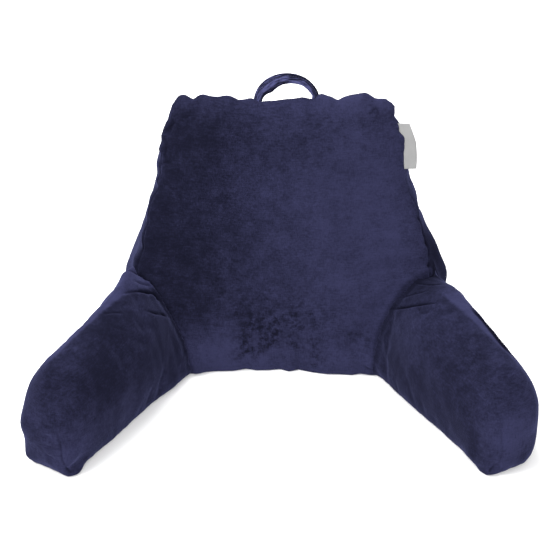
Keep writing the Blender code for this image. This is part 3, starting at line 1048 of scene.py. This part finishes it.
def makeArm(name, cushion):
    s, detail = armSet, armDetail[name]
    root, forward, outward = armAxes(name)
    seam = smoothLine([onArm(name, *at) for at in detail["seam"]])
    folds = foldsOn(onArm, detail["folds"], name) + foldsOn(onNose, detail["noseFolds"], name)
    obj = swell(solidCopy(name, armFrames[name]["piece"]), s, [seam], ("back",))
    finerNear(obj, [seam, *(line for line, f in folds)])
    points, normals = pointsOf(obj.data), normalsOf(obj.data)
    shade = np.zeros(len(points))
    points = lumpy(points, normals, s)
    points = drawnIn(points, normals, seam, {**s["seam"], **detail["seamLooks"]}, shade)
    for line, f in folds:
        points = folded(points, normals, line, f, shade)
    pushes = []
    for *at, ahead, out, rise, radius in detail["pushes"]:
        move = (forward * ahead + outward * out + up * rise) / 1000
        pushes.append((onArm(name, *at), move, radius / 1000))
    points = aboveFloor(pushed(points, pushes))
    toBack = distanceTo(trees["back"], points)
    points += normals * (s["plump"]["height"] * bell(toBack, s["plump"]["width"]))[:, None]
    tree, near = treeOf(cushion), toBack < s["cleared"]
    points = keepClear(aboveFloor(points), tree, s["gap"], near)
    for rounds in s["evenedIn"]:
        points = evened(obj, points, toBack < s["rim"], rounds)
        points = keepClear(points, tree, s["gap"], near)
    setPoints(obj.data, points)
    napAndLight, shade = armNap(name, points, toBack, shade)
    material = velour(obj.name + "Velour", detail["shift"])
    finishPadded(obj, shade, napAndLight, np.zeros(len(points)), material, name)


# the carry handle
handleSet = {
    "middle": 0.0045,
    "halfSpan": 0.0540,  # to its outer edge, at its feet
    "crest": (0.162, 0.433),  # its feet, behind the foot line and above the floor
    "rise": 0.0440,
    "root": 0.014,
    "lean": 12.0,
    "squareness": 0.85,  # of its arch: less is squarer
    "fanned": 0.9,  # how far its width leans outwards at its feet
    "widths": (
        (0.0, 0.0130), (0.12, 0.0160), (0.25, 0.0235), (0.33, 0.0222),
        (0.45, 0.0190), (0.6, 0.0175), (1.0, 0.0160),
    ),
    "twists": ((0.0, 4.0), (0.3, 8.0), (0.5, 36.0), (0.7, 60.0), (0.88, 60.0), (1.0, 20.0)),
    # its right foot goes down behind the seam
    "setBack": ((0.0, 0.0), (0.80, 0.0), (0.93, 0.006), (1.0, 0.010)),
    "steps": 110,
    # half the strap's thickness, from its rolled outer edge to its inner one, in shares of the width
    "profile": (
        (0.50, 0.00), (0.48, 0.09), (0.42, 0.155), (0.34, 0.175), (0.27, 0.145),
        (0.22, 0.095), (0.18, 0.085), (0.12, 0.125), (0.02, 0.165), (-0.12, 0.175),
        (-0.28, 0.160), (-0.40, 0.125), (-0.47, 0.075), (-0.50, 0.00),
    ),
    # its rolled edge stays taut, so the wrinkles grow from there inwards
    "wrinkle": {
        "high": 0.0014, "along": 26, "across": (3.5, 2.2), "sides": (4.0, 9.0),
        "from": 0.2, "over": 0.15,
    },
    "groove": (0.30, 0.09),  # where the stitches lie, inwards and down, as shares of the width
    "creased": {"at": 0.2, "wide": 0.03, "shade": 0.5},  # painted shade in the groove beside its rolled edge
    "fill": 0.5,
    # how light it is from the inner edge to the rolled outer one, near its left foot and its right: the
    # nap's tone, with painted shade on the edges turned from the light
    "leftTones": (
        (-0.50, -0.30), (-0.36, -0.05), (-0.24, 0.25), (-0.12, 0.90), (0.02, 0.50),
        (0.10, 1.00), (0.20, 0.45), (0.34, 0.50), (0.50, 0.25),
    ),
    "rightTones": ((-0.50, 1.00), (-0.36, 0.95), (-0.26, 0.30), (-0.18, -0.05), (0.50, -0.10)),
    "turning": (0.38, 0.62),  # where along it the first gives way to the second
    "streaks": {"strong": 1.4, "along": 11, "across": 17, "slice": 3.0},
    "shift": (1.3, 5.2, 0.8),
    "lighter": 2.15,  # its colour is lighter than the cushion's
}


def fromTable(table, share):
    return float(np.interp(share, *zip(*table)))


def handleRing(bm, share, layers):
    # the strap's cross section at a share of its length, and the bottom of its groove there
    s, (over, on) = handleSet, layers
    lean, angle = math.radians(s["lean"]), math.pi * share
    rising = Vector((0, math.sin(lean), math.cos(lean)))
    deep = Vector((0, math.cos(lean), -math.sin(lean)))
    right = Vector((1, 0, 0))
    foot = Vector((middleX + s["middle"], footLineY + s["crest"][0], s["crest"][1] - s["root"]))
    height = math.sin(angle) ** s["squareness"] * (s["rise"] + s["root"])
    place = foot - right * math.cos(angle) * s["halfSpan"] + rising * height
    place += deep * fromTable(s["setBack"], share)
    outward = (rising * math.sin(angle) - right * math.cos(angle) * s["fanned"]).normalized()
    width, twist = fromTable(s["widths"], share), math.radians(fromTable(s["twists"], share))
    wide = outward * math.cos(twist) + deep * math.sin(twist)
    thin = deep * math.cos(twist) - outward * math.sin(twist)
    ring = [*s["profile"], *((x, -z) for x, z in s["profile"][-2:0:-1])]
    w, points = s["wrinkle"], []
    for across, half in ring:
        soft = max(0.0, min(1.0, (w["from"] - across) / w["over"]))
        side = w["sides"][0] if half > 0 else w["sides"][1]
        spot = Vector((share * w["along"] + across * w["across"][0], across * w["across"][1], side))
        ripple = noise.noise(spot) * w["high"] * soft
        thick = half * width + math.copysign(ripple, half) * (half != 0)
        points.append(bm.verts.new(place + wide * (across - 0.5) * width + thin * thick))
        points[-1][over], points[-1][on] = across, share
    inwards, down = s["groove"]
    return points, place - wide * inwards * width - thin * down * width


def makeHandle():
    s = handleSet
    bm = bmesh.new()
    layers = [bm.verts.layers.float.new(name) for name in ("across", "along")]
    rings, groove = zip(*(handleRing(bm, k / s["steps"], layers) for k in range(s["steps"] + 1)))
    lofted(bm, rings, closed=True)
    bm.faces.new(rings[0])
    bm.faces.new(rings[-1])
    bmesh.ops.recalc_face_normals(bm, faces=bm.faces)
    obj = subdivided(addObject("handleStrap", meshFrom(bm, "handle")))
    across, along = (readAttribute(obj.data, name) for name in ("across", "along"))
    shade = s["creased"]["shade"] * bell(across - s["creased"]["at"], s["creased"]["wide"])
    turned = smooth(along, *s["turning"])
    left, right = (np.interp(across, *zip(*s[side])) for side in ("leftTones", "rightTones"))
    napAndLight = left * (1 - turned) + right * turned
    k = s["streaks"]
    spots = [Vector((t * k["along"], a * k["across"], k["slice"])) for t, a in zip(along, across)]
    napAndLight += np.array([noise.noise(spot) for spot in spots]) * k["strong"]
    material = velour("handleVelour", s["shift"], s["lighter"])
    finishPadded(obj, shade, napAndLight, shade * 0, material, "handle")
    return obj, groove


# the folded tab in the right side seam
tabSet = {
    "low": 0.3245,
    "high": 0.3975,
    "reach": 0.0145,
    "root": 0.005,
    "bow": 0.003,
    "meanBow": 0.67,  # over the tab's height, as a share of the bow
    "curl": 0.0012,
    "curlWave": (5.0, 0.6),  # how the curl swings over the tab's height, and where it starts
    "bend": (-0.8, 0, 0.8),  # radians round its fold
    "layer": 0.0004,
    "apart": 0.0009,  # between the two layers
    "steps": 40,
    "across": 8,
    "threads": 800.0,
    "threadsShow": 0.35,
    "soil": (60.0, 3.0),
    "soilShows": 0.3,
    "dark": (0.18, 0.18, 0.18, 1),
    "light": (0.28, 0.28, 0.28, 1),
    "relief": 0.0002,
    "bump": 0.5,
    "roughness": 0.62,
    "sheen": 0.1,
}


def tape(name):
    # a plain weave, its threads about 0.4 mm apart
    s, paint = tabSet, Paint(name)
    place = paint.place()
    wave = {"Vector": place, "Scale": s["threads"]}
    across, along = (paint.node("ShaderNodeTexWave", {"bands_direction": way}, wave) for way in ("X", "Z"))
    weave, soil = across * along, paint.noise(place, *s["soil"])
    shader = paint.shader(
        Base_Color=paint.mix(weave * s["threadsShow"] + soil * s["soilShows"], s["dark"], s["light"]),
        Roughness=s["roughness"],
        Normal=paint.raised(weave * s["relief"], s["bump"]),
        Sheen_Weight=s["sheen"],
    )
    return paint.finish(shader)


def makeTab():
    s, table = tabSet, np.array(seamSet["rows"])
    bm, rows = bmesh.new(), []
    swing, start = s["curlWave"]
    for k in range(s["steps"] + 1):
        share = k / s["steps"]
        level = s["low"] + (s["high"] - s["low"]) * share
        half, depth = (np.interp(level, table[:, 0], table[:, c]) for c in (1, 2))
        seam = Vector((middleX + half, footLineY + depth, level))
        reach = s["reach"] + s["bow"] * 4 * share * (1 - share)
        curl = s["curl"] * math.sin(share * swing + start)
        radius, wide = s["apart"] / 2, s["root"] + reach
        front = [(-s["root"] + wide * i / s["across"], -radius) for i in range(s["across"] + 1)]
        bend = [(reach + radius * math.cos(a), radius * math.sin(a)) for a in s["bend"]]
        loop = front + bend + [(x, -y) for x, y in reversed(front)]
        rows.append([bm.verts.new(seam + Vector((x, y + curl * (x / reach) ** 2, 0))) for x, y in loop])
    lofted(bm, rows, closed=False)
    obj = addObject("sideTab", meshFrom(bm, "sideTab"))
    thick = obj.modifiers.new("thick", "SOLIDIFY")
    thick.thickness = s["layer"]
    thick.offset = 0
    applied(obj)
    obj.data.shade_smooth()
    obj.data.materials.append(tape("tabTape"))
    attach(obj, "root")
    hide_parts("label")
    print("side tab", len(obj.data.polygons), "faces")


# stitches
stitchSet = {
    "Long": 0.0026,
    "Pitch": 0.0042,
    "Thick": 0.00035,
    "lift": 0.0001,
    "colour": (0.030, 0.031, 0.075),
    "twist": (900.0, 2.0),
    "twistDark": 0.7,  # the darker of its strands, as a share of the colour
    "roughness": 0.6,
    "ends": 8,  # steps of the handle that stay bare at each end
}


def thread(name):
    s, paint = stitchSet, Paint(name)
    twist = paint.noise(paint.place(), *s["twist"])
    dark = (*(c * s["twistDark"] for c in s["colour"]), 1)
    colour = paint.mix(twist, dark, (*s["colour"], 1))
    return paint.finish(paint.shader(Base_Color=colour, Roughness=s["roughness"]))


def stitchTree(material):
    # a small rounded stitch at every step of a path, lying along it
    tree = bpy.data.node_groups.new("stitchRow", "GeometryNodeTree")
    tree.interface.new_socket("Path", in_out="INPUT", socket_type="NodeSocketGeometry")
    for name in ("Long", "Pitch", "Thick"):
        tree.interface.new_socket(name, in_out="INPUT", socket_type="NodeSocketFloat")
    tree.interface.new_socket("Stitches", in_out="OUTPUT", socket_type="NodeSocketGeometry")
    graph = Graph(tree)
    path = graph.node("NodeGroupInput")
    line = graph.node("GeometryNodeMeshToCurve", None, {"Mesh": path})
    spacing = {"Curve": line, "Length": path.beside("Pitch")}
    spaced = graph.node("GeometryNodeResampleCurve", {"mode": "LENGTH"}, spacing)
    stitch = graph.node("GeometryNodeMeshUVSphere", None, {"Segments": 6, "Rings": 4, "Radius": 1.0})
    stitch = graph.node("GeometryNodeSetShadeSmooth", None, {"Geometry": stitch})
    along = graph.node("GeometryNodeInputTangent")
    turned = graph.node("FunctionNodeAlignRotationToVector", {"axis": "Z"}, {"Vector": along})
    thick = path.beside("Thick")
    size = graph.node("ShaderNodeCombineXYZ", None, {"X": thick, "Y": thick, "Z": path.beside("Long") * 0.5})
    placed = {"Points": spaced, "Instance": stitch, "Rotation": turned, "Scale": size}
    row = graph.node("GeometryNodeInstanceOnPoints", None, placed)
    row = graph.node("GeometryNodeRealizeInstances", None, {"Geometry": row})
    row = graph.node("GeometryNodeSetMaterial", None, {"Geometry": row, "Material": material})
    graph.node("NodeGroupOutput", None, {"Stitches": row})
    return tree


def addStitches(name, path, onto):
    # the path is laid on the piece, and every stitch on it is made real in one mesh
    surface, bm, spots = treeOf(onto), bmesh.new(), []
    for point in path:
        spot, normal = surface.find_nearest(point)[:2]
        spots.append(bm.verts.new(spot + normal * stitchSet["lift"]))
    for a, b in zip(spots, spots[1:]):
        bm.edges.new((a, b))
    obj = addObject(name, meshFrom(bm, name))
    rows = obj.modifiers.new("rows", "NODES")
    rows.node_group = stitchTree(thread("velourThread"))
    for item in rows.node_group.interface.items_tree:
        if item.name in stitchSet:
            rows[item.identifier] = stitchSet[item.name]
    applied(obj)
    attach(obj, "root")
    print(name, len(obj.data.polygons), "faces")


floorSet = {"half": 14, "under": 0.0002, "colour": (0.955, 0.955, 0.955, 1), "roughness": 0.9}


def addFloor():
    s, bm, paint = floorSet, bmesh.new(), Paint("paleFloor")
    bmesh.ops.create_grid(bm, x_segments=1, y_segments=1, size=s["half"])
    floor = addObject("floor", meshFrom(bm, "floor"))
    shader = paint.shader(Base_Color=s["colour"], Roughness=s["roughness"])
    floor.data.materials.append(paint.finish(shader))
    floor.location.z = -s["under"]


backCushion = makeBack()
for name in armFrames:
    makeArm(name, backCushion)
handleStrap, groove = makeHandle()
makeTab()
bare = stitchSet["ends"]
addStitches("handleStitches", groove[bare:-bare], handleStrap)
addFloor()
for obj in solids.values():
    bpy.data.objects.remove(obj)
